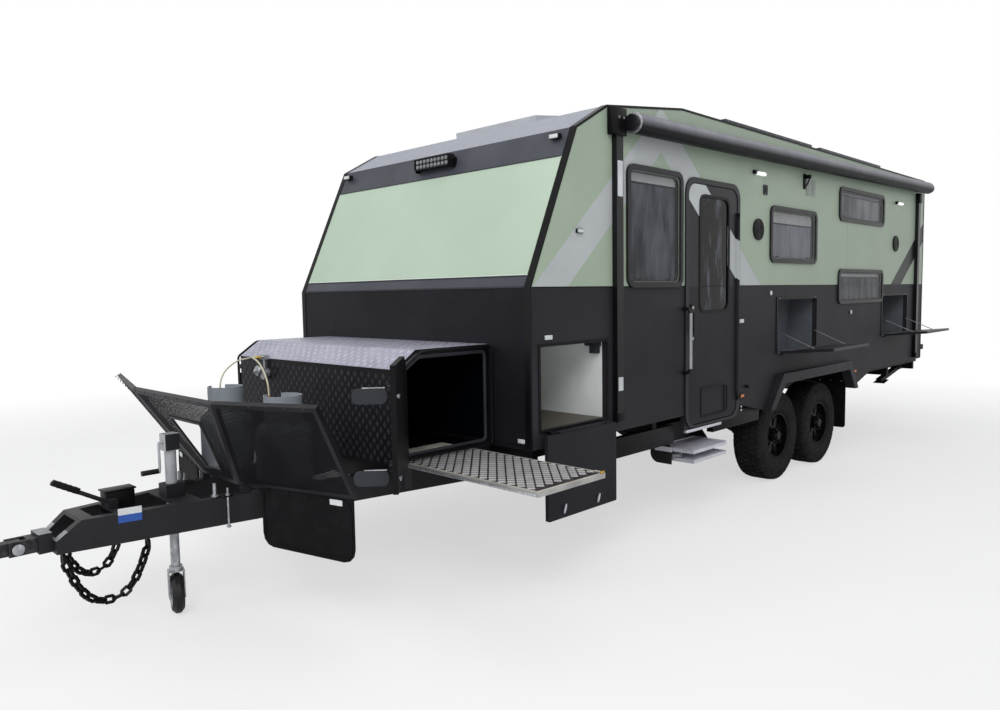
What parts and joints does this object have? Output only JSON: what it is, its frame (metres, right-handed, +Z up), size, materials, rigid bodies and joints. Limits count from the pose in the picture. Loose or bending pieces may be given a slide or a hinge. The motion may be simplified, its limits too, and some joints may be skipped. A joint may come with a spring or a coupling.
{
  "type": "tandem axle off-road touring caravan",
  "caption": "Full-height touring caravan with a sloped front, tandem wheels, A-frame drawbar with tool box, stone shield and gas bottles, side hatches, door and folding step.",
  "frame": {"origin": "centre of the coupling head's vertical tow-pin bore, 550 mm above the ground", "axes": "+X to the entry-door side, +Y to the rear of the van, +Z up along the tow-pin bore"},
  "size_m": [3.098, 10.0373, 3.175],
  "materials": {
    "black_rubber": "matte",
    "black_steel": "satin",
    "checker_plate": "satin",
    "dark_panel": "gloss",
    "gas_bottle": "gloss",
    "hose": "satin",
    "liner": "satin",
    "pale_panel": "gloss",
    "rim": "satin",
    "sage_panel": "gloss",
    "step_plate": "satin",
    "tinted_window": "gloss",
    "trim_plastic": "satin",
    "tyre": "matte",
    "white_liner": "satin",
    "window_frame": "satin",
    "zinc": "satin"
  },
  "bodies": {
    "van": {"front_wall_lower": "dark_panel", "front_wall_upper": "pale_panel", "roof": "pale_panel", "rear_wall": "dark_panel", "floor": "dark_panel", "side_wall_kerb": "sage_panel", "side_wall_road": "sage_panel", "window_frames": "window_frame", "window_glass": "tinted_window", "arch_flares": "trim_plastic", "chassis_frame": "black_steel", "drawbar": "black_steel", "jockey_mast": "zinc", "toolbox": "checker_plate", "storage_bay_lining": "white_liner", "hatch_linings": "liner", "flap_hinges": "black_steel", "spare_tyre": "tyre", "spare_rim": "rim", "suspension": "black_steel", "stone_shield": "black_steel", "stone_shield_mesh": "black_steel", "mud_flaps": "black_rubber", "gas_bottles": "gas_bottle", "entry_step": "step_plate", "rear_bar": "black_steel", "roof_fittings": "trim_plastic", "awning": "trim_plastic", "body_fittings": "trim_plastic", "safety_chains": "black_steel", "gas_hose_kerb": "hose", "gas_hose_road": "hose"},
    "coupling_yoke": {"coupling_yoke": "black_steel"},
    "coupling_head": {"coupling_head": "black_steel"},
    "jockey_slide": {"jockey_inner_tube": "zinc"},
    "jockey_fork": {"jockey_fork": "zinc"},
    "jockey_wheel": {"jockey_wheel": "black_rubber"},
    "toolbox_door_kerb": {"toolbox_door_kerb": "checker_plate"},
    "toolbox_door_road": {"toolbox_door_road": "checker_plate"},
    "slide_tray": {"slide_tray": "step_plate"},
    "storage_flap_kerb": {"storage_flap_kerb": "dark_panel"},
    "storage_flap_road": {"storage_flap_road": "dark_panel"},
    "hatch_flap_front": {"hatch_flap_front": "dark_panel"},
    "hatch_flap_rear": {"hatch_flap_rear": "dark_panel"},
    "entry_door": {"entry_door": "dark_panel", "entry_door_glass": "tinted_window"},
    "step_links": {"step_links": "black_steel"},
    "step_lower_tread": {"step_lower_tread": "step_plate"},
    "wheel_front_kerb": {"tyre_front_kerb": "tyre", "rim_front_kerb": "rim"},
    "wheel_front_road": {"tyre_front_road": "tyre", "rim_front_road": "rim"},
    "wheel_rear_kerb": {"tyre_rear_kerb": "tyre", "rim_rear_kerb": "rim"},
    "wheel_rear_road": {"tyre_rear_road": "tyre", "rim_rear_road": "rim"},
    "leg_front_kerb": {"leg_front_kerb": "black_steel"},
    "leg_front_road": {"leg_front_road": "black_steel"},
    "leg_rear_kerb": {"leg_rear_kerb": "black_steel"},
    "leg_rear_road": {"leg_rear_road": "black_steel"}
  },
  "joints": [
    {"name": "coupling_roll", "type": "hinge", "parent": "van", "child": "coupling_yoke", "pos_m": [0, 0.105, 0], "axis": [0, 1, 0], "continuous": true},
    {"name": "coupling_pitch", "type": "hinge", "parent": "coupling_yoke", "child": "coupling_head", "pos_m": [0, 0.105, 0], "axis": [1, 0, 0], "range_deg": [-45, 45]},
    {"name": "jockey_winding", "type": "slide", "parent": "van", "child": "jockey_slide", "axis": [0, 0, 1], "range_m": [0, 0.165]},
    {"name": "jockey_swivel", "type": "hinge", "parent": "jockey_slide", "child": "jockey_fork", "pos_m": [0, 0.855, -0.44], "axis": [0, 0, 1], "continuous": true},
    {"name": "jockey_roll", "type": "hinge", "parent": "jockey_fork", "child": "jockey_wheel", "pos_m": [0, 0.855, -0.44], "axis": [0.2924, 0.9563, 0], "continuous": true},
    {"name": "toolbox_door_kerb", "type": "hinge", "parent": "van", "child": "toolbox_door_kerb", "pos_m": [0.9, 1.727, 0.55], "axis": [0, 0, 1], "range_deg": [0, 133]},
    {"name": "toolbox_door_road", "type": "hinge", "parent": "van", "child": "toolbox_door_road", "pos_m": [-0.9, 1.727, 0.55], "axis": [0, 0, 1], "range_deg": [0, 133]},
    {"name": "slide_tray", "type": "slide", "parent": "van", "child": "slide_tray", "axis": [-1, 0, 0], "range_m": [0, 0.995]},
    {"name": "storage_flap_kerb", "type": "hinge", "parent": "van", "child": "storage_flap_kerb", "pos_m": [1.235, 2.8325, 0.343], "axis": [0, -1, 0], "range_deg": [0, 180]},
    {"name": "storage_flap_road", "type": "hinge", "parent": "van", "child": "storage_flap_road", "pos_m": [-1.235, 2.8325, 0.343], "axis": [0, -1, 0], "range_deg": [0, 180]},
    {"name": "hatch_front", "type": "hinge", "parent": "van", "child": "hatch_flap_front", "pos_m": [1.22, 6.0075, 0.597], "axis": [0, -1, 0], "range_deg": [0, 85]},
    {"name": "hatch_rear", "type": "hinge", "parent": "van", "child": "hatch_flap_rear", "pos_m": [1.22, 8.6, 0.622], "axis": [0, -1, 0], "range_deg": [0, 85]},
    {"name": "entry_door", "type": "hinge", "parent": "van", "child": "entry_door", "pos_m": [1.222, 4.857, 1.05], "axis": [0, 0, 1], "range_deg": [0, 165]},
    {"name": "step_swing", "type": "hinge", "parent": "van", "child": "step_links", "pos_m": [1.2, 4.295, -0.035], "axis": [0, -1, 0], "range_deg": [0, 124]},
    {"name": "step_levelling", "type": "hinge", "parent": "step_links", "child": "step_lower_tread", "pos_m": [1.01349, 4.295, -0.07125], "axis": [0, -1, 0], "range_deg": [-124, 0]},
    {"name": "wheel_front_kerb", "type": "hinge", "parent": "van", "child": "wheel_front_kerb", "pos_m": [1.0075, 5.81, -0.15], "axis": [1, 0, 0], "continuous": true},
    {"name": "wheel_front_road", "type": "hinge", "parent": "van", "child": "wheel_front_road", "pos_m": [-1.0075, 5.81, -0.15], "axis": [1, 0, 0], "continuous": true},
    {"name": "wheel_rear_kerb", "type": "hinge", "parent": "van", "child": "wheel_rear_kerb", "pos_m": [1.0075, 6.71, -0.15], "axis": [1, 0, 0], "continuous": true},
    {"name": "wheel_rear_road", "type": "hinge", "parent": "van", "child": "wheel_rear_road", "pos_m": [-1.0075, 6.71, -0.15], "axis": [1, 0, 0], "continuous": true},
    {"name": "leg_front_kerb", "type": "hinge", "parent": "van", "child": "leg_front_kerb", "pos_m": [1.015, 2.68, 0.184], "axis": [-1, 0, 0], "range_deg": [0, 57]},
    {"name": "leg_front_road", "type": "hinge", "parent": "van", "child": "leg_front_road", "pos_m": [-1.015, 2.68, 0.184], "axis": [-1, 0, 0], "range_deg": [0, 57]},
    {"name": "leg_rear_kerb", "type": "hinge", "parent": "van", "child": "leg_rear_kerb", "pos_m": [1.015, 9.33, 0.184], "axis": [1, 0, 0], "range_deg": [-7, 50]},
    {"name": "leg_rear_road", "type": "hinge", "parent": "van", "child": "leg_rear_road", "pos_m": [-1.015, 9.33, 0.184], "axis": [1, 0, 0], "range_deg": [0, 57]}
  ],
  "couplings": [
    {"joint": "step_levelling", "follows": "step_swing", "ratio": -1}
  ]
}
